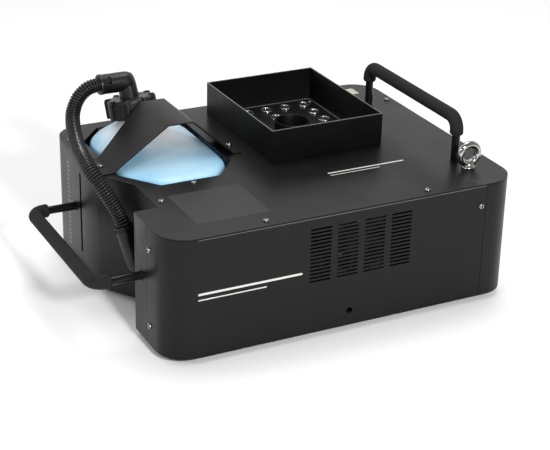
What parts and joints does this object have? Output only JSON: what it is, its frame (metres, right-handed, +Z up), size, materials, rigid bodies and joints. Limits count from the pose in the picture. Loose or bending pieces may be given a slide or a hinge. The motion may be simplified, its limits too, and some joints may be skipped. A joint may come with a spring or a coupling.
{
  "type": "fog machine",
  "caption": "Upward-firing fog machine with a fluid bottle in an open bay, a ring of lamps round the fog outlet inside a tall hood, two foam-gripped handles and a safety eye.",
  "frame": {"origin": "floor level under the middle of the whole object's box", "axes": "+X from the bottle bay towards the right-hand side, along the longest side; +Y from the front panel towards the connector panel; +Z up"},
  "size_m": [0.5082, 0.3726, 0.2281],
  "materials": {
    "body_coat": "satin powder coat on sheet steel",
    "galvanised_steel": "galvanised sheet",
    "rubber_foot": "matt moulded rubber",
    "bottle_plastic": "translucent blow-moulded polyethylene with pale blue fluid behind it",
    "black_moulding": "fine-grained black moulding",
    "hose_plastic": "semi-gloss corrugated conduit",
    "clear_tube": "clear tube",
    "pump_shell": "dark lacquered steel",
    "copper_pipe": "bare copper",
    "cast_aluminium": "rough cast",
    "brass": "turned",
    "lens_plastic": "clear moulded lens",
    "gloss_black_lacquer": "high-gloss black lacquer",
    "handle_foam": "closed-cell foam sleeve",
    "chrome": "polished plating",
    "circuit_board": "green solder mask",
    "grey_moulding": "fine-grained dark grey moulding",
    "satin_nickel": "satin nickel-plated shell",
    "zinc_screw": "bright zinc plating"
  },
  "bodies": {
    "housing": {"base_pan": "body_coat", "front_cover": "body_coat", "right_cover": "body_coat", "rear_cover": "body_coat", "tank_wall": "body_coat", "top_plate": "body_coat", "outlet_collar": "body_coat", "lamp_plate": "body_coat", "lamp_hood": "body_coat", "bottle_strap": "body_coat", "bay_partition": "galvanised_steel", "heater_bracket": "galvanised_steel", "foot_1": "rubber_foot", "foot_2": "rubber_foot", "foot_3": "rubber_foot", "foot_4": "rubber_foot", "fluid_bottle": "bottle_plastic", "cap_elbow": "black_moulding", "hose_boot": "black_moulding", "control_panel": "black_moulding", "power_inlet": "black_moulding", "rocker_frame": "black_moulding", "fuse_holder": "black_moulding", "fan_frame": "black_moulding", "fluid_hose": "hose_plastic", "pickup_tube": "clear_tube", "pump": "pump_shell", "pressure_pipe": "copper_pipe", "heater_block": "cast_aluminium", "fog_nozzle": "brass", "lens_array": "lens_plastic", "left_handle_bar": "gloss_black_lacquer", "right_handle_bar": "gloss_black_lacquer", "left_handle_grip": "handle_foam", "right_handle_grip": "handle_foam", "safety_eye": "chrome", "power_board": "circuit_board", "control_board": "circuit_board", "dmx_in": "satin_nickel", "dmx_out": "satin_nickel", "top_screw_1": "zinc_screw", "top_screw_2": "zinc_screw", "top_screw_3": "zinc_screw", "top_screw_4": "zinc_screw", "top_screw_5": "zinc_screw", "top_screw_6": "zinc_screw", "strap_screw_1": "zinc_screw", "strap_screw_2": "zinc_screw", "side_screw_1": "zinc_screw", "side_screw_2": "zinc_screw", "front_screw": "zinc_screw"},
    "fan": {"fan_rotor": "black_moulding"},
    "cap": {"bottle_cap": "black_moulding"},
    "rocker": {"rocker_paddle": "grey_moulding"},
    "fuse": {"fuse_cap": "black_moulding"},
    "latch": {"dmx_latch": "satin_nickel"},
    "button_1": {"menu_button_1": "grey_moulding"},
    "button_2": {"menu_button_2": "grey_moulding"},
    "button_3": {"menu_button_3": "grey_moulding"},
    "button_4": {"menu_button_4": "grey_moulding"}
  },
  "joints": [
    {"name": "fan_spin", "type": "hinge", "parent": "housing", "child": "fan", "pos_m": [0.0452, -0.174, 0.105], "axis": [0, 1, 0], "continuous": true},
    {"name": "cap_turn", "type": "hinge", "parent": "housing", "child": "cap", "pos_m": [-0.1008, 0.13, 0.166], "axis": [-0.0937, 0.2079, 0.9736], "continuous": true},
    {"name": "rocker_tilt", "type": "hinge", "parent": "housing", "child": "rocker", "pos_m": [0.1872, 0.177, 0.048], "axis": [1, 0, 0], "range_deg": [0, 16]},
    {"name": "fuse_turn", "type": "hinge", "parent": "housing", "child": "fuse", "pos_m": [0.1092, 0.179, 0.048], "axis": [0, 1, 0], "range_deg": [0, 90]},
    {"name": "latch_press", "type": "slide", "parent": "housing", "child": "latch", "axis": [0, -1, 0], "range_m": [0, 0.002], "stiffness_N_per_m": 400},
    {"name": "button_1_press", "type": "slide", "parent": "housing", "child": "button_1", "axis": [0, -1, 0], "range_m": [0, 0.001], "stiffness_N_per_m": 300},
    {"name": "button_2_press", "type": "slide", "parent": "housing", "child": "button_2", "axis": [0, -1, 0], "range_m": [0, 0.001], "stiffness_N_per_m": 300},
    {"name": "button_3_press", "type": "slide", "parent": "housing", "child": "button_3", "axis": [0, -1, 0], "range_m": [0, 0.001], "stiffness_N_per_m": 300},
    {"name": "button_4_press", "type": "slide", "parent": "housing", "child": "button_4", "axis": [0, -1, 0], "range_m": [0, 0.001], "stiffness_N_per_m": 300}
  ]
}
